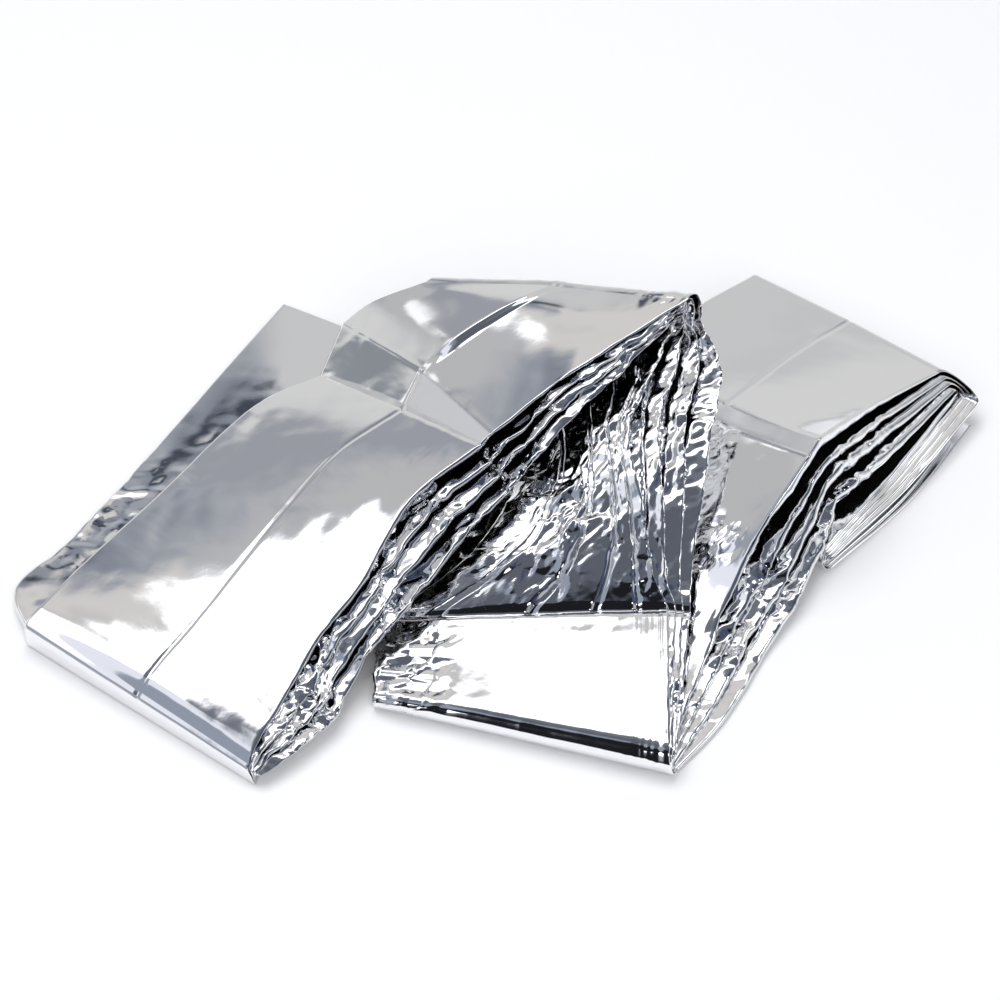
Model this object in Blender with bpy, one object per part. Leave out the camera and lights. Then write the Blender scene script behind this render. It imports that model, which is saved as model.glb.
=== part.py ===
"""Emergency foil blanket, folded into a long strip of layers and laid down
in a zigzag: one sheet of metallised film, modelled as one solid."""
from collections import namedtuple

import bpy
import numpy as np

# Sizes in millimetres unless a comment says otherwise.
MM = 0.001
SHEET = 1.0            # thickness that stands in for the real film
LAYERS = 4             # layers across the strip's stack
ACROSS = 4             # quads across one layer
SIDE_BULGE = 2.6       # how far a side fold bulges past the layers' edge
END_STEPS = 4          # points round each fold across the strip
END_ROUND = 0.55       # bulge of such a fold as a share of its height
STEP_LENGTH = 34.0     # largest spacing of sections along the strip
WAVE = 0.02            # unevenness as a share of the height above the floor
WAVE_X = 210.0         # spacing of the uneven waves along X
WAVE_Y = 170.0         # and along Y
SNAP = 0.35            # points lower than this lie on the floor
FAN_START = 0.3        # place across from which the layers' right ends part

# The turn of a side fold: a row per point, with its share of the gap between
# the two layers and its share of the bulge.
SIDE_TURN = ((0.08, 0.7), (0.5, 1.0), (0.92, 0.7))

# The strip's path. Each section is a line across the strip: the top layer's
# left and right end, the lowest layer's left and right end, how far each of
# the two bows up (or sags, below zero) in its middle, and the share of the
# width by which the top layer's left edge is drawn in.
Section = namedtuple(
    "Section",
    "run place top_left top_right low_left low_right top_bow low_bow drawn_in")

SECTIONS = (
    Section("under", "far end", (-141, 218, 7), (-13, 136, 7),
            (-141, 218, 0.5), (-10, 137, 0.5), 0, 0, 0),
    Section("under", "middle", (-219, 63, 7), (-91, -31, 7),
            (-219, 63, 0.5), (-88, -29, 0.5), 0, 0, 0),
    Section("under", "near end", (-279, -92, 7), (-145, -201, 7),
            (-279, -92, 0.5), (-141, -204, 0.5), 0, 0, 0),
    Section("left", "near end", (-279, -92, 18.5), (-145, -201, 17),
            (-279, -92, 11.3), (-136, -207, 9.6), 0, 0, 0),
    Section("left", "first third", (-247, -41, 20), (-133, -181, 20),
            (-247, -41, 12), (-105, -177, 9), 0, 0, 0),
    Section("left", "middle", (-206, 17, 21), (-106, -118, 33),
            (-206, 17, 13), (-89, -144, 11), 1, 0, 0),
    Section("left", "second third", (-178, 63, 22), (-84, -88, 44),
            (-178, 63, 13), (-74, -116, 22), 1, 0, 0),
    Section("left", "before crease", (-150, 97, 24), (-57, -33, 57),
            (-150, 97, 15), (-44, -78, 34), 1, 0, 0),
    Section("left", "crease", (-113, 120, 27), (-13, 4, 72),
            (-113, 120, 18), (3, -14, 48), 0, 0, 0),
    Section("roof", "crease", (-100, 163, 34), (-6, 10, 76),
            (-100, 163, 27), (17, -3, 59), 0, 0, 0),
    Section("roof", "lower part", (-83, 165, 48), (35, 49, 84),
            (-83, 165, 38.5), (46, 33, 72), 2, 2, 0),
    Section("roof", "upper part", (-57, 164, 62), (86, 90, 93),
            (-57, 164, 53.5), (86, 79, 84), 2, 2, 0),
    Section("roof", "ridge", (-45, 166, 66), (115, 112, 97),
            (-45, 166, 58.5), (112, 108, 90), 0, 0, 0),
    Section("inside", "ridge", (-41, 160, 52.5), (107, 110, 84.5),
            (-41, 160, 45), (124, 118, 76), 0, 0, 0),
    Section("inside", "upper part", (-45, 105, 32), (92, 64, 78),
            (-45, 105, 24), (135, 82, 70), 0, 0, 0.3),
    Section("inside", "middle", (-50, 33, 24.5), (76, 21, 68),
            (-50, 33, 16), (130, 42, 62), 0, 0, 0.56),
    Section("inside", "lower part", (-55, -17, 20.5), (84, -34, 55),
            (-55, -17, 12), (121, -10, 48), 0, 0, 0.48),
    Section("inside", "foot", (-61, -51, 19), (89, -75, 39),
            (-61, -51, 11), (113, -60, 32), 0, 0, 0.3),
    Section("inside", "valley", (-67, -87, 16), (97, -92, 30),
            (-67, -87, 10), (110, -90, 25), 0, 0, 0),
    Section("front", "middle", (-71, -117, 14), (96, -147, 26),
            (-71, -117, 8.5), (105, -147, 18), 0, 0, 0),
    Section("front", "near end", (-71, -144, 13), (95, -193, 20.5),
            (-71, -144, 8.2), (99, -195, 14), 0, 0, 0),
    Section("right", "near end", (-71, -144, 5.3), (95, -193, 10),
            (-71, -144, 0.5), (100, -197, 1.5), 0, 0, 0),
    Section("right", "first third", (-42, -74, 9), (119, -119, 14),
            (-42, -74, 3), (129, -157, 1), -3, -1, 0),
    Section("right", "middle", (-6, -13, 17), (135, -78, 25),
            (-6, -13, 10), (159, -97, 2), -4, -2, 0),
    Section("right", "second third", (37, 50, 26), (154, -43, 44),
            (37, 50, 19), (181, -58, 8), -5, -1, 0),
    Section("right", "crease", (73, 113, 32), (185, -6, 72),
            (73, 113, 24), (205, 4, 22), -5, -3, 0),
    Section("right", "after crease", (81, 125, 33), (191, 5, 75),
            (81, 125, 25), (215, 15, 24), -5, -3, 0),
    Section("right", "far part", (129, 180, 33), (236, 69, 52),
            (129, 180, 25), (252, 61, 24), -3, -2, 0),
    Section("right", "far end", (166, 216, 29), (276, 118, 32),
            (166, 216, 22.4), (285, 108, 23), 0, 0, 0),
    Section("fold", "far end", (165, 218, 17.6), (288, 113, 17.6),
            (165, 218, 12.4), (301, 108, 12.4), 0, 0, 0),
    Section("fold", "middle", (102, 139, 14.4), (238, 35, 14.4),
            (102, 139, 9), (249, 32, 9), 0, 0, 0),
    Section("fold", "near end", (53, 79, 13), (196, -25, 13),
            (53, 79, 7.8), (200, -28, 7.8), 0, 0, 0),
    Section("last", "near end", (53, 79, 5.3), (196, -25, 5.3),
            (53, 79, 0.5), (200, -28, 0.5), 0, 0, 0),
    Section("last", "middle", (103, 145, 5.3), (242, 36, 5.3),
            (103, 145, 0.5), (253, 32, 0.5), 0, 0, 0),
    Section("last", "far end", (142, 220, 5.3), (283, 110, 5.3),
            (142, 220, 0.5), (297, 102, 0.5), 0, 0, 0),
)

# Runs that follow one another without a fold are one course. The flag tells
# whether the strip's first layer is the course's top one.
Course = namedtuple("Course", "runs first_on_top")

COURSES = (
    Course(("under",), False),
    Course(("left", "roof"), True),
    Course(("inside", "front"), False),
    Course(("right",), True),
    Course(("fold",), False),
    Course(("last",), True),
)

FILM_COLOUR = (0.80, 0.81, 0.83, 1.0)
FILM_ROUGHNESS = 0.12


def clear_scene():
    for item in list(bpy.data.objects):
        bpy.data.objects.remove(item, do_unlink=True)


def film_material():
    material = bpy.data.materials.new("film")
    material.use_nodes = True
    shader = material.node_tree.nodes["Principled BSDF"]
    shader.inputs["Base Color"].default_value = FILM_COLOUR
    shader.inputs["Metallic"].default_value = 1.0
    shader.inputs["Roughness"].default_value = FILM_ROUGHNESS
    return material


def column_table():
    """One row per column across the whole stack. Its depth in the stack runs
    from 0 for the strip's first layer to 1 for its last. The two offsets say
    the same for the layer's left and right end, which layers joined by a
    fold share. Then its place across the strip and its share of the bulge."""
    rows = []
    gaps = LAYERS - 1
    for layer in range(LAYERS):
        left = (layer + 1) // 2 / (LAYERS // 2)
        right = layer // 2 / (LAYERS // 2 - 1)
        across = np.linspace(0.0, 1.0, ACROSS + 1)
        if layer % 2:
            across = across[::-1]
        rows.extend((layer / gaps, left, right, u, 0.0) for u in across)
        if layer == gaps:
            continue
        side = across[-1]
        way = 1.0 if side > 0.5 else -1.0
        rows.extend(((layer + share) / gaps, left, right, side, way * bulge)
                    for share, bulge in SIDE_TURN)
    return np.array(rows)


def section_array(section):
    """Corners and bows of a section as one array of five rows."""
    return np.array([section.top_left, section.top_right,
                     section.low_left, section.low_right,
                     (section.top_bow, section.low_bow, section.drawn_in)], dtype=float)


def fill_course(keys):
    """Sections between the given ones: a cubic through them, whose slope at
    each is weighted by the distances to both neighbours."""
    centres = keys[:, :4].mean(axis=1)
    chord = np.linalg.norm(np.diff(centres, axis=0), axis=1)
    slopes = np.diff(keys, axis=0) / chord[:, None, None]
    tangents = np.empty_like(keys)
    tangents[0] = slopes[0]
    tangents[-1] = slopes[-1]
    before = chord[:-1, None, None]
    after = chord[1:, None, None]
    tangents[1:-1] = (slopes[:-1] * after + slopes[1:] * before) / (before + after)
    filled = [keys[0]]
    for i, length in enumerate(chord):
        count = max(1, int(np.ceil(length / STEP_LENGTH)))
        for t in np.arange(1, count + 1) / count:
            h00 = 2 * t**3 - 3 * t**2 + 1
            h10 = t**3 - 2 * t**2 + t
            h01 = 3 * t**2 - 2 * t**3
            h11 = t**3 - t**2
            filled.append(h00 * keys[i] + h10 * length * tangents[i]
                          + h01 * keys[i + 1] + h11 * length * tangents[i + 1])
    return np.array(filled)


def lay_course(course, columns):
    """Points of one course, indexed by section, column and axis."""
    keys = np.array([section_array(s) for s in SECTIONS if s.run in course.runs])
    sections = fill_course(keys)
    depth, left, right, across, bulge = columns.T
    if not course.first_on_top:
        depth, left, right = 1.0 - depth, 1.0 - left, 1.0 - right
    top_left, top_right, low_left, low_right, bows = (
        sections[:, i, None, :] for i in range(5))
    drawn = bows[..., 2] * (1.0 - left)
    across = drawn + (1.0 - drawn) * across
    fanned = np.clip((across - FAN_START) / (1.0 - FAN_START), 0.0, 1.0)
    right = 0.5 + (right - 0.5) * fanned
    left_end = top_left + (low_left - top_left) * left[None, :, None]
    right_end = top_right + (low_right - top_right) * right[..., None]
    points = left_end + (right_end - left_end) * across[..., None]
    top = top_left + (top_right - top_left) * across[..., None]
    low = low_left + (low_right - low_left) * across[..., None]
    height = top + (low - top) * depth[None, :, None]
    bow = bows[..., 0] + (bows[..., 1] - bows[..., 0]) * depth
    arch = 4.0 * across * (1.0 - across)
    points[..., 2] = height[..., 2] + bow * arch
    outward = top_right - top_left
    outward = outward / np.linalg.norm(outward, axis=-1, keepdims=True)
    return points + outward * (bulge * SIDE_BULGE)[None, :, None]


def turn_over(before, after):
    """Fold between two courses: a half ellipse for every column, bulging
    the way that both courses point."""
    start = before[-1]
    end = after[0]
    heading = (before[-1] - before[-2]).mean(axis=0)
    returning = (after[1] - after[0]).mean(axis=0)
    outward = (heading / np.linalg.norm(heading)
               - returning / np.linalg.norm(returning))
    outward = outward / np.linalg.norm(outward)
    middle = 0.5 * (start + end)
    half = 0.5 * (start - end)
    reach = END_ROUND * np.abs(start[:, 2] - end[:, 2])
    turns = np.linspace(0.0, np.pi, END_STEPS + 2)[1:-1]
    return np.array([middle + half * np.cos(turn)
                     + outward * reach[:, None] * np.sin(turn) for turn in turns])


def strip_points():
    columns = column_table()
    courses = [lay_course(course, columns) for course in COURSES]
    rows = [courses[0]]
    for before, after in zip(courses, courses[1:]):
        rows.append(turn_over(before, after))
        rows.append(after)
    points = np.concatenate(rows)
    wave = (np.sin(points[..., 0] * 2 * np.pi / WAVE_X + 0.7)
            + np.sin(points[..., 1] * 2 * np.pi / WAVE_Y + 1.9)) * 0.5
    points[..., 2] *= 1.0 + WAVE * wave
    return points


def surface_normals(points):
    along = np.gradient(points, axis=0)
    across = np.gradient(points, axis=1)
    normals = np.cross(along, across)
    return normals / np.linalg.norm(normals, axis=-1, keepdims=True)


def thicken(points):
    """Both faces of the film, half its thickness to each side."""
    shift = surface_normals(points) * SHEET * 0.5
    faces = np.stack([points + shift, points - shift])
    low = faces[..., 2] < SNAP
    faces[..., 2][low] = 0.0
    return faces


def solid_faces(rows, cols):
    """Quads of both faces and of the four rims between them."""
    index = np.arange(2 * rows * cols).reshape(2, rows, cols)
    quads = []

    def add(a, b, c, d):
        quads.append(np.stack([a.ravel(), b.ravel(), c.ravel(), d.ravel()], axis=1))

    front = index[0]
    rear = index[1]
    add(front[:-1, :-1], front[1:, :-1], front[1:, 1:], front[:-1, 1:])
    add(rear[:-1, :-1], rear[:-1, 1:], rear[1:, 1:], rear[1:, :-1])
    add(front[:-1, 0], rear[:-1, 0], rear[1:, 0], front[1:, 0])
    add(front[:-1, -1], front[1:, -1], rear[1:, -1], rear[:-1, -1])
    add(front[0, :-1], front[0, 1:], rear[0, 1:], rear[0, :-1])
    add(front[-1, :-1], rear[-1, :-1], rear[-1, 1:], front[-1, 1:])
    return np.concatenate(quads)


def add_blanket(material):
    faces = thicken(strip_points())
    rows, cols = faces.shape[1:3]
    vertices = faces.reshape(-1, 3)
    lowest = vertices.min(axis=0)
    highest = vertices.max(axis=0)
    middle = 0.5 * (lowest + highest)
    vertices = (vertices - (middle[0], middle[1], lowest[2])) * MM
    mesh = bpy.data.meshes.new("foil_blanket")
    mesh.from_pydata(vertices.tolist(), [], solid_faces(rows, cols).tolist())
    mesh.materials.append(material)
    mesh.shade_smooth()
    mesh.update()
    blanket = bpy.data.objects.new("foil_blanket", mesh)
    bpy.context.scene.collection.objects.link(blanket)
    return blanket


clear_scene()
add_blanket(film_material())
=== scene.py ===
import math

import bpy
import numpy as np
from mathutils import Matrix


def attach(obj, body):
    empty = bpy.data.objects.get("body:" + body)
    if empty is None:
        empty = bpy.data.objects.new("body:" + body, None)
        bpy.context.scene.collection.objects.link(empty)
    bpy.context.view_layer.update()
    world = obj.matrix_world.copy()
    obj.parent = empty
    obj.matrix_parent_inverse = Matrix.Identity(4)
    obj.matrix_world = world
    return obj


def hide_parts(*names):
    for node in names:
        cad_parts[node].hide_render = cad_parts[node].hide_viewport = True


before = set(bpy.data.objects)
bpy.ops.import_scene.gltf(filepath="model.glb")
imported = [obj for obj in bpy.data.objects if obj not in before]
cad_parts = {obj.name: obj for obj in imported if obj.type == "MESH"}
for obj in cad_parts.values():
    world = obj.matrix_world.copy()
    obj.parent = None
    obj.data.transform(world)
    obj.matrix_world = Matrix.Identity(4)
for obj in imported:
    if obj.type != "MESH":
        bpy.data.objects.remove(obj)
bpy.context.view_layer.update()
mm = 0.001
print("frame loaded")


# the folded strip
strip = {
    "centre": (10.161, 6.201),   # moves the rows onto the model's own middle
    "layers": 8,
    "width": 1.30,               # metres, opened out
    "foldedWidth": 162.5,        # the rest is in millimetres
    "sideBulge": 2.4,            # how far a side fold stands past its layers
    "sideTurns": (18, 42, 66, 90, 114, 138, 162),     # degrees round a right side fold
    "leftTurns": (30, 90, 150),
    "endSteps": 14,              # points round a fold across the strip
    "edgeShare": 0.22,           # part across, at the right, where columns are finer
    "pleatColumns": (0.48, 0.54, 13),
    "fanStart": 0.3,             # place across where the layers' ends spread
    "depthBlend": (0.25, 0.85),  # where the left depths give way to the right ones
    "uneven": 0.02,              # share that the height wanders by, over two lengths
    "unevenX": 210.0,
    "unevenY": 170.0,
    # each layer's depth in the stack, 0 at the top and 1 at the bottom
    "leftDepths": (0.0, 0.05, 0.3, 0.36, 0.64, 0.7, 0.95, 1.0),
    "rightDepths": (0.0, 0.17, 0.31, 0.46, 0.53, 0.70, 0.83, 1.0),
}

# A row is a line across the strip, in millimetres: the top layer's left and right
# end, then the lowest layer's. After them come the bow of the top and of the lowest
# layer, how far the upper layers' left edge is drawn in, the height of the crease
# along the middle, and how crumpled the panel's left part, its middle, its right
# part and the side folds are.
sections = [
    ("under", (-141, 218, 2.4), (-13, 136, 5), (-141, 218, 0.4), (-10, 137, 0.4),
     1, 0, 0, 0.3, 0.05, 0.05, 0.2, 0.2),
    ("under", (-170, 160, 5.5), (-40, 72, 6), (-170, 160, 0.4), (-37, 74, 0.4),
     4.5, 0, 0, 0.5, 0.05, 0.05, 0.2, 0.2),
    ("under", (-202, 98, 6.0), (-72, 4, 6), (-202, 98, 0.4), (-69, 6, 0.4),
     6, 0, 0, 0.5, 0.12, 0.1, 0.2, 0.2),
    ("under", (-232, 40, 6.5), (-98, -60, 6), (-232, 40, 0.4), (-94, -58, 0.4),
     6, 0, 0, 0.5, 0.6, 0.2, 0.2, 0.2),
    ("under", (-266, -18, 7.0), (-121, -131, 6), (-266, -18, 0.4), (-117, -132, 0.4),
     5, 0, 0, 0.5, 0.5, 0.2, 0.2, 0.2),
    ("under", (-291, -58, 7.5), (-137, -170, 6), (-291, -58, 0.4), (-133, -172, 0.4),
     2, 0, 0, 0.5, 0.15, 0.1, 0.1, 0.1),
    ("under", (-279, -92, 7.5), (-145, -201, 6.2), (-279, -92, 0.4), (-141, -204, 0.4),
     0, 0, 0, 0, 0, 0, 0.0, 0.1),
    ("left", (-279, -92, 17.6), (-145, -201, 11), (-279, -92, 11.3), (-138, -206, 8.6),
     0, 0, 0, 0, 0, 0, 0.0, 0.3),
    ("left", (-274, -85, 19.4), (-143.5, -195, 14.2), (-274, -85, 12.0), (-131, -201, 8.8),
     1, 0, 0, 0.5, 0, 0, 0.0, 0.5),
    ("left", (-268, -75, 19.9), (-140, -186, 17.4), (-268, -75, 12.2), (-122, -192, 9.0),
     1, 1, 0, 1.0, 0.03, 0.01, 0.0, 0.9),
    ("left", (-247, -41, 20), (-131, -170, 20.5), (-247, -41, 12), (-105, -175, 9),
     3, 1, 0, 1.6, 0.04, 0.01, 0.0, 1.0),
    ("left", (-206, 17, 21), (-106, -118, 33), (-206, 17, 13), (-89, -144, 11),
     4.5, 2, 0, 2.0, 0.06, 0.01, 0.01, 1.0),
    ("left", (-178, 63, 22), (-84, -88, 44), (-178, 63, 13), (-74, -116, 22),
     5, 2, 0, 2.0, 0.07, 0.02, 0.01, 1.0),
    ("left", (-150, 97, 24), (-57, -33, 57), (-150, 97, 15), (-44, -78, 34),
     4, 2, 0, 2.0, 0.05, 0.03, 0.02, 1.0),
    ("left", (-113, 120, 27), (-13, 4, 72), (-113, 120, 18), (3, -14, 48),
     2, 1, 0, 2.0, 0.05, 0.05, 0.04, 0.9),
    ("bandLeft", (-100, 167, 30), (-6, 10, 76), (-100, 167, 23), (17, -3, 59),
     2, 1, 0, 6.5, 0.1, 0.05, 0.02, 0.9),
    ("roof", (-83, 165, 48), (35, 49, 84), (-83, 165, 38.5), (46, 33, 72),
     1.5, 1, 0, 5.5, 0.05, 0.01, 0.01, 1.0),
    ("roof", (-57, 164, 62), (86, 90, 93), (-57, 164, 53.5), (86, 79, 84),
     1.5, 1, 0, 4.0, 0.02, 0.01, 0.01, 1.0),
    ("roof", (-45, 166, 66), (115, 112, 97), (-45, 166, 58.5), (112, 108, 90),
     0, 0, 0, 1.0, 0.05, 0.05, 0.2, 1.0),
    ("inside", (-41, 160, 52.5), (107, 112, 84.5), (-41, 160, 45), (123, 116, 76),
     0, 0, 0, 0, 0.5, 0.6, 0.9, 0.9),
    ("inside", (-45, 105, 32), (92, 64, 78), (-45, 105, 24), (135, 82, 70),
     0, 0, 0.3, 0, 0.7, 0.7, 0.7, 0.6),
    ("inside", (-50, 33, 24.5), (76, 21, 68), (-50, 33, 16), (130, 42, 62),
     2, 1, 0.56, 0, 0.6, 0.65, 0.5, 0.45),
    ("inside", (-55, -17, 20.5), (84, -34, 55), (-55, -17, 12), (121, -10, 48),
     5, 3, 0.48, 0, 0.55, 0.7, 0.45, 0.4),
    ("inside", (-61, -51, 19), (89, -75, 39), (-61, -51, 11), (113, -60, 32),
     6.5, 4, 0.3, 0, 0.55, 0.6, 0.4, 0.4),
    ("inside", (-67, -87, 16), (97, -92, 30), (-67, -87, 10), (110, -90, 25),
     0, 0, 0, 0, 0.5, 0.1, 0.1, 0.5),
    ("front", (-71, -117, 14), (96, -147, 26), (-71, -117, 8.5), (105, -147, 18),
     -0.5, 0, 0, 0, 1.1, 0.02, 0.02, 0.5),
    ("front", (-71, -144, 13), (95, -193, 20.5), (-71, -144, 8.2), (99, -195, 14),
     0, 0, 0, 0, 0.8, 0.03, 0.03, 0.3),
    ("right", (-71, -144, 5.3), (95, -193, 10), (-71, -144, 0.4), (100, -197, 1.5),
     0, 0, 0, 0, 0.1, 0.05, 0.05, 0.3),
    ("right", (-42, -74, 9), (119, -119, 14), (-42, -74, 3), (129, -157, 1),
     -3, -1, 0, 0, 0.2, 0.2, 0.15, 0.8),
    ("right", (-6, -13, 17), (135, -78, 25), (-6, -13, 10), (159, -97, 2),
     -4, -2, 0, 0, 0.2, 0.2, 0.1, 1.0),
    ("right", (37, 50, 26), (154, -43, 44), (37, 50, 19), (181, -58, 8),
     -5, -1, 0, 0, 0.2, 0.1, 0.03, 0.9),
    ("right", (73, 113, 32), (185, -6, 72), (73, 113, 24), (205, 4, 22),
     -5, -3, 0, 0, 0.1, 0.05, 0.02, 0.9),
    ("bandRight", (81, 124, 34.4), (191, 3.2, 76.8), (81, 124, 26), (215, 13, 25),
     -5, -3, 0, 0.5, 0.02, 0.02, 0.02, 0.9),
    ("far", (129, 180, 33), (236, 69, 52), (129, 180, 25), (252, 61, 24),
     -3, -2, 0, 1.5, 0.01, 0.01, 0.01, 0.3),
    ("far", (166, 216, 29), (276, 118, 32), (166, 216, 22.4), (285, 108, 23),
     0, 0, 0, 1.5, 0.01, 0.01, 0.01, 0.1),
    ("fold", (165, 218, 17.6), (288, 113, 17.6), (165, 218, 12.4), (301, 108, 12.4),
     0, 0, 0, 0, 0.05, 0.05, 0.05, 0.1),
    ("fold", (102, 139, 14.4), (238, 35, 14.4), (102, 139, 9), (249, 32, 9),
     0, 0, 0, 0, 0.05, 0.05, 0.05, 0.1),
    ("fold", (53, 79, 13), (196, -25, 13), (53, 79, 7.8), (200, -28, 7.8),
     0, 0, 0, 0, 0.05, 0.05, 0.05, 0.1),
    ("last", (53, 79, 5.3), (196, -25, 5.3), (53, 79, 0.4), (200, -28, 0.4),
     0, 0, 0, 0, 0.05, 0.05, 0.05, 0.1),
    ("last", (103, 145, 5.3), (242, 36, 5.3), (103, 145, 0.4), (253, 32, 0.4),
     0, 0, 0, 0, 0.05, 0.05, 0.05, 0.1),
    ("last", (142, 220, 5.3), (283, 110, 5.3), (142, 220, 0.4), (297, 102, 0.4),
     0, 0, 0, 0, 0.05, 0.05, 0.05, 0.1),
]

# The runs between two folds across the strip: whether the first layer lies on top,
# the spacing of points, and the fold at the end, as its reach for the height that it
# turns through and how square it is.
courses = [
    {"runs": ("under",), "firstOnTop": False, "step": 3.0, "reach": 0.3, "square": 0.45},
    {"runs": ("left", "bandLeft", "roof"), "firstOnTop": True, "step": 1.5,
     "reach": 0.5, "square": 1.0},
    {"runs": ("inside", "front"), "firstOnTop": False, "step": 1.45,
     "reach": 0.5, "square": 1.0},
    {"runs": ("right", "bandRight", "far"), "firstOnTop": True, "step": 1.6,
     "reach": 0.4, "square": 0.9},
    {"runs": ("fold",), "firstOnTop": False, "step": 3.0, "reach": 0.5, "square": 1.0},
    {"runs": ("last",), "firstOnTop": True, "step": 3.0, "reach": 0.5, "square": 1.0},
]

# The pieces of the one sheet: its first and last course, the run after which it
# ends or begins when a crease parts it, and how fine its columns are: the outer
# layers' spacing in the middle and near the right edge, then the inner layers'.
pieces = {
    "lowerArm": {"course": 0, "from": None, "to": None, "fine": (3.6, 3.6), "inner": (16, 9)},
    "upperArm": {"course": 1, "from": None, "to": "left", "fine": (3.2, 1.3),
                 "inner": (16, 1.5)},
    "roofPanel": {"course": 1, "from": "left", "to": None, "fine": (3.2, 1.3),
                  "inner": (16, 1.5)},
    "innerSlope": {"course": 2, "from": None, "to": None, "fine": (1.7, 1.3),
                   "inner": (16, 2.0)},
    "rightArm": {"course": 3, "from": None, "to": "right", "fine": (3.0, 1.3),
                 "inner": (16, 1.5)},
    "farPanel": {"course": 3, "from": "right", "to": None, "fine": (3.0, 1.5),
                 "inner": (16, 1.8)},
    "middleFold": {"course": 4, "from": None, "to": None, "fine": (5, 3), "inner": (20, 5)},
    "lowestFold": {"course": 5, "from": None, "to": None, "fine": (5, 3), "inner": (20, 5)},
}

crumple = {
    "seed": 11,
    "spread": (0.75, 1.35),                       # a wave's length, as a share of the given
    "big": ((30.0, 2.1, 4), (15.0, 1.5, 5)),      # length, height, number of waves
    "small": ((8.0, 1.05, 7), (4.6, 0.55, 8)),
    "lines": ((19.0, 1.1, 5), (11.0, 0.7, 5)),    # sharp creases, apart
    "lineWidth": 0.09,                            # as a share of their distance
    "ripple": ((95.0, 0.4, 3), (42.0, 0.07, 4), (17.0, 0.02, 4)),
    "along": (0.62, 0.78, 0.0),                   # folds run mostly this way,
    "stretch": 0.82,                              # so they are longer along it
    "wander": (6.0, 40.0),                        # how far, over what length
    "slowWaves": 5,
    "unevenLength": 60.0,                         # calm and lively places take turns
    "unevenShare": (0.85, 1.1, 0.25, 1.5),        # middle, swing, least, most
    "calmBelow": 12.0,                            # less moved this close to the floor
    "floorGap": 0.05,
    "patches": (                                  # x, y, radius, amount
        (128, 40, 16, 0.7),
        (128, -40, 22, 0.5),
        (-60, 60, 30, 0.05),
    ),
}


# Sharp creases: across the strip at the end of a run, as width and depth; along it
# at a place across, as run, place, width and depth; and the pleat on the roof.
creases = {
    "across": {"left": (2.6, 0.55), "bandLeft": (2.2, 0.35), "inside": (4.2, 2.0),
               "right": (2.6, 0.6), "bandRight": (2.2, 0.4)},
    "along": (
        ("left", 0.5, 2.6, 0.4), ("bandLeft", 0.5, 2.6, 0.4), ("roof", 0.5, 2.6, 0.3),
        ("far", 0.5, 2.8, 0.4), ("right", 0.5, 2.6, 0.3),
        ("inside", 0.15, 4.0, 2.2), ("inside", 0.5, 4.5, 2.0), ("inside", 0.74, 3.5, 1.6),
        ("inside", 0.9, 3.0, 1.4),
        ("front", 0.905, 2.4, 0.5), ("front", 0.927, 2.4, 0.6), ("front", 0.95, 2.4, 0.5),
        ("front", 0.975, 2.4, 0.6),
    ),
    "pleat": {"rise": (0.12, 0.492), "fall": 0.53, "height": 3.8,
              "top": 0.3, "fading": 0.8},
    "scuffed": {"left": ("bandLeft", 0.5), "right": ("bandRight", 0.3)},
}


# Smooth step: 0 below low, 1 above high, 3t^2 - 2t^3 between.
def smoothStep(x, low, high):
    t = np.clip((x - low) / (high - low), 0.0, 1.0)
    return t * t * (3.0 - 2.0 * t)


# Zigzag of period 1 between -1 and 1, so a sum of them has flat faces and sharp folds.
def zigzag(x):
    return 4.0 * np.abs(x - np.floor(x + 0.5)) - 1.0


# Sum of waves: each runs along a direction of its own and pushes along another one.
def foldField(points, waves, rng, shape=zigzag, upright=False):
    total = np.zeros_like(points)
    for length, height, count in waves:
        for _ in range(count):
            along = rng.normal(size=3)
            push = rng.normal(size=3)
            if upright:
                along[2] *= 0.2
                push = np.array((0.0, 0.0, 1.0))
            along /= np.linalg.norm(along)
            push /= np.linalg.norm(push)
            spread = length * rng.uniform(*crumple["spread"])
            wave = shape(points @ along / spread + rng.uniform())
            total += wave[..., None] * push * (height / math.sqrt(count))
    return total


def softWave(x):
    return np.sin(2.0 * math.pi * x)


# Flat, with a narrow V once in every period.
def creaseWave(x):
    away = np.abs(x - np.floor(x + 0.5)) / crumple["lineWidth"]
    return -np.clip(1.0 - away, 0.0, 1.0)


# Slow wander of the points by sines, so that the folds of a field aren't straight.
def wander(points, reach, length, rng):
    shift = np.zeros_like(points)
    for _ in range(crumple["slowWaves"]):
        along = rng.normal(size=3) / length
        push = rng.normal(size=3)
        shift += softWave(points @ along + rng.uniform())[..., None] * push
    return points + shift * (reach / crumple["slowWaves"])


# Places across a layer from 0 to 1, with one spacing up to the edge part and another
# in it; an outer layer also has close ones where the pleat falls.
def placesAcross(wide, fine, outer):
    share, width = strip["edgeShare"], strip["foldedWidth"]
    near = np.linspace(0.0, 1.0 - share, max(2, round((1.0 - share) * width / wide)) + 1)
    if outer:
        low, high, count = strip["pleatColumns"]
        near = np.concatenate([near[near < low - 0.002], np.linspace(low, high, count),
                               near[near > high + 0.002]])
    edge = np.linspace(1.0 - share, 1.0, max(2, round(share * width / fine)) + 1)
    return np.concatenate([near, edge[1:]])


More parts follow.
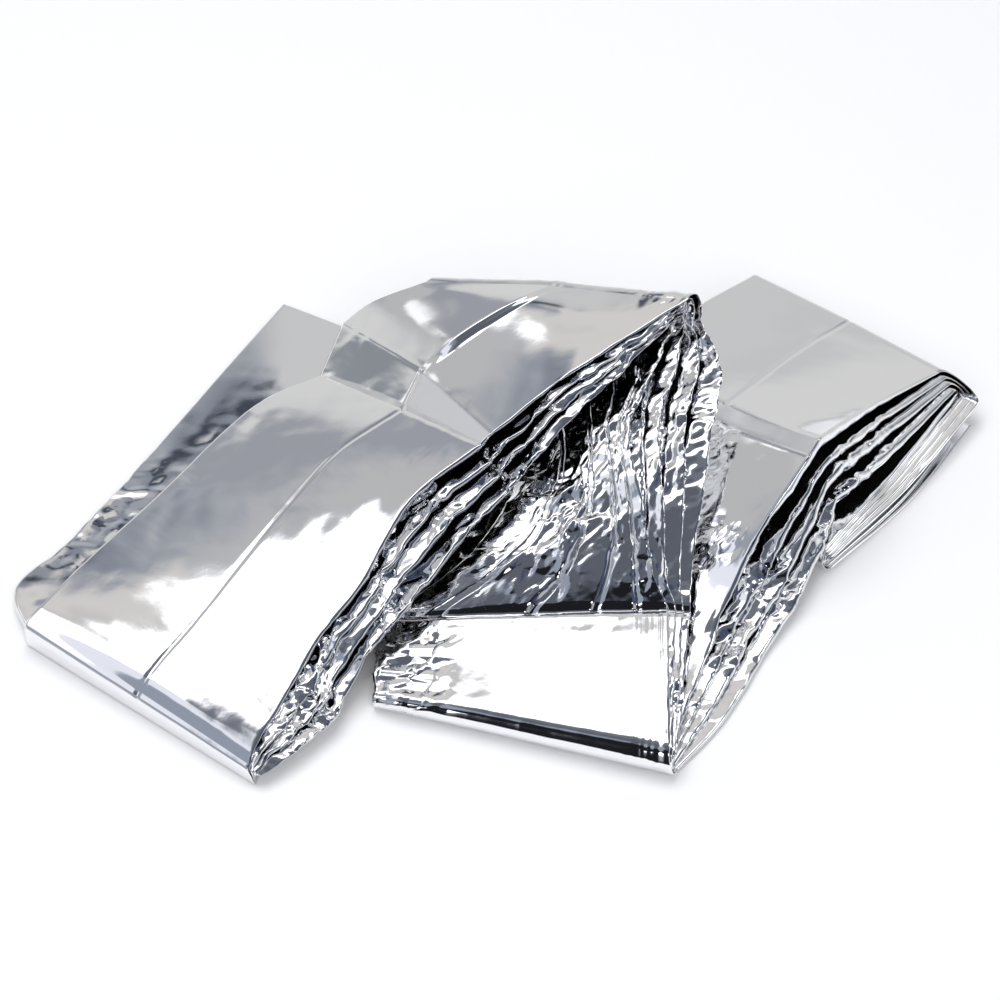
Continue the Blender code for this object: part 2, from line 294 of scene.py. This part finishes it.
# Columns across the stack, as layer, left depth, right depth, left and right offset,
# place across and bulge. A side fold is a half ellipse between two layers.
def columnTable(piece):
    s = strip
    last = s["layers"] - 1
    rows = []
    for layer in range(s["layers"]):
        outer = layer in (0, last)
        left = (layer + 1) // 2 / (s["layers"] // 2)
        right = layer // 2 / (s["layers"] // 2 - 1)
        across = placesAcross(*(piece["fine"] if outer else piece["inner"]), outer)
        if layer % 2:
            across = across[::-1]
        low, high = s["leftDepths"][layer], s["rightDepths"][layer]
        rows.extend((low, high, left, right, u, 0.0) for u in across)
        if layer == last:
            continue
        side = across[-1]
        way = 1.0 if side > 0.5 else -1.0
        nextLow, nextHigh = s["leftDepths"][layer + 1], s["rightDepths"][layer + 1]
        for turn in np.radians(s["sideTurns"] if way > 0 else s["leftTurns"]):
            share = 0.5 - 0.5 * math.cos(turn)
            rows.append((low + (nextLow - low) * share, high + (nextHigh - high) * share,
                         left, right, side, way * math.sin(turn)))
    return np.array(rows)


# Cubic through the rows of one run: the slope at a row is weighted by the distances
# to both neighbours, and the run's ends take the slope of their own side.
def fillRun(keys, step):
    centres = keys[:, :12].reshape(-1, 4, 3).mean(axis=1)
    chord = np.linalg.norm(np.diff(centres, axis=0), axis=1)
    slopes = np.diff(keys, axis=0) / chord[:, None]
    tangents = np.empty_like(keys)
    tangents[0] = slopes[0]
    tangents[-1] = slopes[-1]
    before = chord[:-1, None]
    after = chord[1:, None]
    tangents[1:-1] = (slopes[:-1] * after + slopes[1:] * before) / (before + after)
    parts = [keys[:1]]
    for i, length in enumerate(chord):
        count = max(1, int(math.ceil(length / step)))
        t = (np.arange(1, count + 1) / count)[:, None]
        parts.append((2 * t**3 - 3 * t**2 + 1) * keys[i]
                     + (t**3 - 2 * t**2 + t) * length * tangents[i]
                     + (3 * t**2 - 2 * t**3) * keys[i + 1]
                     + (t**3 - t**2) * length * tangents[i + 1])
    return np.concatenate(parts)


# All rows of a course, and where each of its runs ends.
def fillCourse(course):
    table = {}
    for name, *values in sections:
        table.setdefault(name, []).append(np.concatenate([np.ravel(v) for v in values]))
    filled, ends = None, {}
    for run in course["runs"]:
        keys = np.array(table[run], dtype=float)
        if filled is not None:
            keys = np.concatenate([filled[-1:], keys])
        part = fillRun(keys, course["step"])
        filled = part if filled is None else np.concatenate([filled, part[1:]])
        ends[run] = len(filled) - 1
    return filled, ends


# Height of the sharp creases: each is a V of its width and depth. The pleat rises
# evenly across the roof and falls steeply, highest at a share of the way along.
def creaseHeights(course, ends, rowCount, place):
    rows = np.arange(rowCount)[:, None]
    height = np.zeros((rowCount, len(place)))
    first = 0
    for run in course["runs"]:
        inRun = ((rows >= first) & (rows <= ends[run])).astype(float)
        for name, middle, width, depth in creases["along"]:
            if name == run:
                away = np.abs(place - middle) * strip["foldedWidth"] / width
                height -= inRun * depth * np.clip(1.0 - away, 0.0, 1.0)
        if run in creases["across"]:
            width, depth = creases["across"][run]
            away = np.abs(rows - ends[run]) * course["step"] / width
            height -= depth * np.clip(1.0 - away, 0.0, 1.0)
        if run == "roof":
            pleat = creases["pleat"]
            (low, high), fall = pleat["rise"], pleat["fall"]
            profile = np.clip((place - low) / (high - low), 0.0, 1.0)
            profile *= np.clip((fall - place) / (fall - high), 0.0, 1.0)
            share = np.clip((rows - first) / (ends[run] - first), 0.0, 1.0)
            height += (inRun * pleat["height"] * smoothStep(share, 0.0, pleat["top"])
                       * (1.0 - pleat["fading"] * share) * profile)
        first = ends[run]
    return height


# 1 in the bands between two creases, right of the place given for each, else 0.
def scuffing(ends, rowCount, place):
    rows = np.arange(rowCount)[:, None]
    dull = np.zeros((rowCount, len(place)))
    for before, (run, start) in creases["scuffed"].items():
        if run in ends:
            inBand = (rows > ends[before]) & (rows < ends[run])
            dull += inBand * smoothStep(place, start, start + 0.02)
    return dull


# One course: a point is the left end plus the share across of the way to the right
# end, at the height between the top and the lowest line that its depth gives, plus
# a bow of 4u(1-u), a ridge of 1-|2u-1| and the creases.
def layCourse(course, columns):
    s = strip
    filled, ends = fillCourse(course)
    lowDepth, highDepth, left, right, across, bulge = columns.T
    place = across.copy()
    depth = lowDepth + (highDepth - lowDepth) * smoothStep(place, *s["depthBlend"])
    if not course["firstOnTop"]:
        depth, left, right = 1.0 - depth, 1.0 - left, 1.0 - right
    topLeft, topRight, lowLeft, lowRight = (filled[:, None, 3 * i:3 * i + 3] for i in range(4))
    topBow, lowBow, drawnIn, middle, atLeft, atMiddle, atRight, atSide = (
        filled[:, 12 + i, None] for i in range(8))
    drawn = drawnIn * (1.0 - left)
    across = drawn + (1.0 - drawn) * across
    fanned = np.clip((across - s["fanStart"]) / (1.0 - s["fanStart"]), 0.0, 1.0)
    right = 0.5 + (right - 0.5) * fanned
    leftEnd = topLeft + (lowLeft - topLeft) * left[None, :, None]
    rightEnd = topRight + (lowRight - topRight) * right[..., None]
    points = leftEnd + (rightEnd - leftEnd) * across[..., None]
    top = (topLeft + (topRight - topLeft) * across[..., None])[..., 2]
    low = (lowLeft + (lowRight - lowLeft) * across[..., None])[..., 2]
    arch = 4.0 * across * (1.0 - across)
    ridge = 1.0 - np.abs(2.0 * place - 1.0)
    points[..., 2] = (top + (low - top) * depth
                      + (topBow + (lowBow - topBow) * depth) * arch + middle * ridge)
    points[..., 2] += creaseHeights(course, ends, len(filled), place)
    outward = topRight - topLeft
    outward = outward / np.linalg.norm(outward, axis=-1, keepdims=True)
    points = points + outward * (bulge * s["sideBulge"])[None, :, None]
    # crumpling by place across, and on the side folds and hidden layers at the right
    panel = atMiddle + (atLeft - atMiddle) * (1.0 - smoothStep(place, 0.08, 0.3))
    panel = panel + (atRight - panel) * smoothStep(place, 0.7, 0.9)
    hidden = smoothStep(depth, 0.05, 0.35) * smoothStep(place, 0.72, 0.92)
    fold = np.abs(bulge) * (place > 0.5) * smoothStep(depth, -0.1, 0.3)
    weight = panel + (atSide - panel) * np.clip(np.maximum(hidden, fold), 0.0, 1.0)
    onTop = lowDepth + highDepth < 0.01
    scuffed = scuffing(ends, len(filled), place) * onTop
    return points, np.stack([weight, scuffed]), ends


# Fold across the strip: for every column a half ellipse, made squarer by raising its
# sine and cosine to a power, that bulges the way in which both courses point.
def turnOver(course, before, after, weightBefore, weightAfter):
    start, end = before[-1], after[0]
    heading = (before[-1] - before[-4]).mean(axis=0)
    returning = (after[3] - after[0]).mean(axis=0)
    outward = heading / np.linalg.norm(heading) - returning / np.linalg.norm(returning)
    outward /= np.linalg.norm(outward)
    reach = course["reach"] * np.abs(start[:, 2] - end[:, 2])
    turns = np.linspace(0.0, math.pi, strip["endSteps"] + 2)[1:-1, None, None]
    power = course["square"]
    level = np.sign(np.cos(turns)) * np.abs(np.cos(turns)) ** power
    points = (0.5 * (start + end) + 0.5 * (start - end) * level
              + outward * reach[None, :, None] * np.sin(turns) ** power)
    share = turns[..., 0] / math.pi
    weight = weightBefore[:, -1:] * (1.0 - share) + weightAfter[:, :1] * share
    return points, weight


# The rows of one piece, from the middle of the fold before it to that of the next.
def layPiece(piece):
    columns = columnTable(piece)
    index = piece["course"]
    points, weights, ends = layCourse(courses[index], columns)
    first = ends[piece["from"]] if piece["from"] else 0
    last = ends[piece["to"]] + 1 if piece["to"] else len(points)
    half = strip["endSteps"] // 2
    parts, partWeights = [points[first:last]], [weights[:, first:last]]
    if index > 0 and not piece["from"]:
        p, w, _ = layCourse(courses[index - 1], columns)
        fold, foldWeight = turnOver(courses[index - 1], p, points, w, weights)
        parts.insert(0, fold[half:])
        partWeights.insert(0, foldWeight[:, half:])
    if index < len(courses) - 1 and not piece["to"]:
        p, w, _ = layCourse(courses[index + 1], columns)
        fold, foldWeight = turnOver(courses[index], points, p, weights, w)
        parts.append(fold[:half + 1])
        partWeights.append(foldWeight[:, :half + 1])
    points = np.concatenate(parts)
    weights, scuffed = np.concatenate(partWeights, axis=1)
    wave = (np.sin(points[..., 0] * 2 * math.pi / strip["unevenX"] + 0.7)
            + np.sin(points[..., 1] * 2 * math.pi / strip["unevenY"] + 1.9)) * 0.5
    points[..., 2] *= 1.0 + strip["uneven"] * wave
    return points, weights, scuffed


# Moves the points by the folded fields, by as much as the weights say, and less close
# to the floor, so that nothing sinks into it.
def crumpleFilm(points, weights):
    rng = np.random.default_rng(crumple["seed"])
    wandered = wander(points, *crumple["wander"], rng)
    way = np.array(crumple["along"])
    squeezed = wandered - (1.0 - crumple["stretch"]) * (wandered @ way)[..., None] * way
    big = foldField(squeezed, crumple["big"], rng)
    small = foldField(squeezed, crumple["small"], rng)
    small += foldField(squeezed, crumple["lines"], rng, creaseWave)
    uneven = np.zeros(points.shape[:-1])
    for _ in range(crumple["slowWaves"]):
        slow = rng.normal(size=3) / crumple["unevenLength"]
        uneven += softWave(points @ slow + rng.uniform()) / crumple["slowWaves"]
    share, swing, least, most = crumple["unevenShare"]
    weights = weights * np.clip(share + swing * uneven, least, most)
    ripple = foldField(wandered, crumple["ripple"][:1], rng, softWave, upright=True)
    ripple += foldField(wandered, crumple["ripple"][1:], rng, upright=True)
    for x, y, radius, amount in crumple["patches"]:
        away = np.hypot(points[..., 0] - x, points[..., 1] - y) / radius
        weights = np.maximum(weights, amount * (1.0 - smoothStep(away, 0.5, 1.0)))
    lift = smoothStep(points[..., 2], 0.0, crumple["calmBelow"])[..., None]
    moved = points + (big + small) * weights[..., None] * lift + ripple * lift
    moved[..., 2] = np.maximum(moved[..., 2], crumple["floorGap"])
    return moved


def filmMesh(name, grid, scuffed):
    rows, cols = grid.shape[:2]
    index = np.arange(rows * cols).reshape(rows, cols)
    quads = np.stack([index[:-1, :-1], index[1:, :-1], index[1:, 1:], index[:-1, 1:]], axis=-1)
    quads = quads.reshape(-1, 4)
    mesh = bpy.data.meshes.new(name)
    mesh.vertices.add(rows * cols)
    mesh.loops.add(quads.size)
    mesh.polygons.add(len(quads))
    mesh.vertices.foreach_set("co", grid.reshape(-1))
    mesh.loops.foreach_set("vertex_index", quads.reshape(-1))
    mesh.polygons.foreach_set("loop_start", np.arange(0, quads.size, 4))
    mesh.update(calc_edges=True)
    mesh.shade_smooth()
    dull = mesh.attributes.new("scuffed", "FLOAT", "POINT")
    dull.data.foreach_set("value", scuffed.reshape(-1).astype(np.float32))
    piece = bpy.data.objects.new(name, mesh)
    bpy.context.scene.collection.objects.link(piece)
    return piece


film = {
    "colour": (0.91, 0.915, 0.925, 1.0),
    "roughness": 0.07,
    "scuffedRoughness": 0.3,    # where a fold has dulled it
    "wrinkleScale": 240.0,
    "wrinkleHeight": 0.00005,
    "wrinkleStrength": 0.3,
}


def filmMaterial():
    material = bpy.data.materials.new("metallisedFilm")
    material.use_nodes = True
    nodes = material.node_tree.nodes
    links = material.node_tree.links
    shader = nodes["Principled BSDF"]
    shader.inputs["Base Color"].default_value = film["colour"]
    shader.inputs["Metallic"].default_value = 1.0
    scuffed = nodes.new("ShaderNodeAttribute")
    scuffed.attribute_name = "scuffed"
    dulled = nodes.new("ShaderNodeMapRange")
    dulled.inputs["To Min"].default_value = film["roughness"]
    dulled.inputs["To Max"].default_value = film["scuffedRoughness"]
    links.new(scuffed.outputs["Fac"], dulled.inputs["Value"])
    links.new(dulled.outputs["Result"], shader.inputs["Roughness"])
    coordinates = nodes.new("ShaderNodeTexCoord")
    wrinkles = nodes.new("ShaderNodeTexNoise")
    wrinkles.inputs["Scale"].default_value = film["wrinkleScale"]
    wrinkles.inputs["Detail"].default_value = 3.0
    bump = nodes.new("ShaderNodeBump")
    bump.inputs["Strength"].default_value = film["wrinkleStrength"]
    bump.inputs["Distance"].default_value = film["wrinkleHeight"]
    links.new(coordinates.outputs["Object"], wrinkles.inputs["Vector"])
    links.new(wrinkles.outputs["Fac"], bump.inputs["Height"])
    links.new(bump.outputs["Normal"], shader.inputs["Normal"])
    return material


material = filmMaterial()
for name, piece in pieces.items():
    points, weights, scuffed = layPiece(piece)
    grid = crumpleFilm(points, weights)
    grid[..., :2] -= strip["centre"]
    grid *= mm
    filmPiece = filmMesh(name, grid, scuffed)
    filmPiece.data.materials.append(material)
    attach(filmPiece, "root")
    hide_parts("foil_blanket")
    print(name, grid.shape[:2], "triangles", 2 * len(filmPiece.data.polygons))


# floor, light and camera
studio = {
    "floorColour": (0.93, 0.93, 0.93, 1.0),
    "floorRoughness": 0.9,
    "floorHalf": 6.0,
    "floorDrop": 0.0002,     # below the lowest film
    "elevation": 43.0,
    "distance": 2.2,
    "lens": 130.0,
    "aim": (0.0, 0.0, 0.03),
    "lamps": (               # name, place, size, power
        ("topLamp", (-0.5, 0.5, 2.6), (2.6, 2.2), 43.0),
        ("frontLamp", (0.2, -2.4, 2.0), (3.0, 2.0), 41.0),
    ),
    "room": (0.012, 0.013, 0.016),
    # what the film mirrors, in degrees from straight behind the blanket: middle across
    # and up, half width across and up, softness, and the colour
    "panels": (
        (0, 28, 80, 42, 16, (0.33, 0.355, 0.40)),
        (90, 40, 50, 50, 20, (0.06, 0.075, 0.13)),
        (128, 24, 34, 16, 14, (0.46, 0.48, 0.52)),
        (-122, 22, 20, 14, 12, (0.40, 0.42, 0.46)),
        (-98, 40, 26, 36, 12, (0.30, 0.335, 0.41)),
        (0, 0, 110, 24, 24, (0.68, 0.68, 0.67)),
        (86, 30, 22, 11, 10, (0.50, 0.51, 0.54)),
        (-41, 33, 16, 12, 8, (0.50, 0.50, 0.51)),
        (-39, 27, 4, 3, 4, (1.10, 1.10, 1.12)),
        (-35, 19, 4, 4, 4, (0.26, 0.28, 0.31)),
        (-24, 24, 9, 4.5, 5, (0.34, 0.35, 0.39)),
        (-15.5, 35, 5, 5, 5, (0.24, 0.26, 0.31)),
        (5, 30, 13, 8, 6, (0.60, 0.60, 0.60)),
        (-12, 35, 3.5, 1.6, 3, (0.03, 0.04, 0.06)),
        (5, 42, 17, 5, 4, (0.67, 0.65, 0.63)),
        (2, 46, 27, 4.5, 4, (0.67, 0.65, 0.63)),
        (0, 92, 200, 18, 8, (0.11, 0.12, 0.15)),
        (-12, 62, 54, 12, 10, (0.16, 0.175, 0.21)),
        (-66, 58, 16, 8, 5, (0.84, 0.86, 0.94)),
        (-37, 54, 15, 9, 3, (1.9, 1.9, 1.94)),
        (-2, 56, 24, 6, 3, (1.9, 1.9, 1.94)),
        (62, 50, 9, 8, 4, (2.4, 2.4, 2.4)),
        (162, 52, 8, 6, 2, (3.0, 3.0, 3.0)),
        (-132, 36, 8, 8, 3, (2.4, 2.5, 2.8)),
    ),
}


def addFloor():
    mesh = bpy.data.meshes.new("floor")
    half = studio["floorHalf"]
    mesh.from_pydata([(-half, -half, 0), (half, -half, 0), (half, half, 0), (-half, half, 0)],
                     [], [(0, 1, 2, 3)])
    floor = bpy.data.objects.new("floor", mesh)
    floor.location.z = -studio["floorDrop"]
    bpy.context.scene.collection.objects.link(floor)
    paint = bpy.data.materials.new("paleFloor")
    paint.use_nodes = True
    shader = paint.node_tree.nodes["Principled BSDF"]
    shader.inputs["Base Color"].default_value = studio["floorColour"]
    shader.inputs["Roughness"].default_value = studio["floorRoughness"]
    mesh.materials.append(paint)


# A lamp for the floor, turned to the blanket, that the film doesn't mirror.
def addLamp(name, place, size, power):
    light = bpy.data.lights.new(name, "AREA")
    light.shape = "RECTANGLE"
    light.size, light.size_y = size
    light.energy = power
    lamp = bpy.data.objects.new(name, light)
    lamp.location = place
    aim = np.array(studio["aim"]) - np.array(place)
    yaw = math.atan2(aim[1], aim[0])
    pitch = math.atan2(-aim[2], math.hypot(aim[0], aim[1]))
    lamp.rotation_euler = (math.pi / 2 - pitch, 0.0, yaw - math.pi / 2)
    lamp.visible_glossy = False
    bpy.context.scene.collection.objects.link(lamp)


# The room round the blanket: soft-edged panels in angle, each mixed over the last,
# with the angle across = atan2(x, y) and the angle up = asin(z).
def addWorld():
    world = bpy.data.worlds.new("studioRoom")
    bpy.context.scene.world = world
    world.use_nodes = True
    world.cycles.sampling_method = "NONE"    # its panels are soft, so this is quicker
    nodes = world.node_tree.nodes
    links = world.node_tree.links

    def calculate(operation, *values):
        node = nodes.new("ShaderNodeMath")
        node.operation = operation
        for socket, value in zip(node.inputs, values):
            if isinstance(value, (int, float)):
                socket.default_value = value
            else:
                links.new(value, socket)
        return node.outputs[0]

    # 1 within the half width of the middle, 0 beyond it, soft between
    def window(angle, middle, half, soft):
        distance = calculate("ABSOLUTE", calculate("SUBTRACT", angle, middle))
        node = nodes.new("ShaderNodeMapRange")
        node.interpolation_type = "SMOOTHSTEP"
        node.inputs["From Min"].default_value = half + soft * 0.5
        node.inputs["From Max"].default_value = half - soft * 0.5
        links.new(distance, node.inputs["Value"])
        return node.outputs["Result"]

    coordinates = nodes.new("ShaderNodeTexCoord")
    split = nodes.new("ShaderNodeSeparateXYZ")
    links.new(coordinates.outputs["Generated"], split.inputs["Vector"])
    x, y, z = split.outputs
    degrees = 180.0 / math.pi
    across = calculate("MULTIPLY", calculate("ARCTAN2", x, y), degrees)
    height = calculate("MULTIPLY", calculate("ARCSINE", z), degrees)
    colour = None
    for middleAcross, middleUp, halfAcross, halfUp, soft, paint in studio["panels"]:
        mask = calculate("MULTIPLY", window(across, middleAcross, halfAcross, soft),
                         window(height, middleUp, halfUp, soft))
        mix = nodes.new("ShaderNodeMix")
        mix.data_type = "RGBA"
        links.new(mask, mix.inputs["Factor"])
        if colour is None:
            mix.inputs["A"].default_value = (*studio["room"], 1.0)
        else:
            links.new(colour, mix.inputs["A"])
        mix.inputs["B"].default_value = (*paint, 1.0)
        colour = mix.outputs["Result"]
    links.new(colour, nodes["Background"].inputs["Color"])


def addCamera():
    lens = bpy.data.cameras.new("camera")
    lens.lens = studio["lens"]
    lens.sensor_width = 36.0
    lens.clip_start = 0.05
    camera = bpy.data.objects.new("camera", lens)
    tilt = math.radians(studio["elevation"])
    aim = np.array(studio["aim"]) - np.array((*strip["centre"], 0.0)) * mm
    camera.location = aim + studio["distance"] * np.array((0.0, -math.cos(tilt), math.sin(tilt)))
    camera.rotation_euler = (math.pi / 2 - tilt, 0.0, 0.0)
    bpy.context.scene.collection.objects.link(camera)
    bpy.context.scene.camera = camera


addFloor()
for lamp in studio["lamps"]:
    addLamp(*lamp)
addWorld()
addCamera()
bpy.context.scene.view_settings.view_transform = "Standard"
print("studio set")
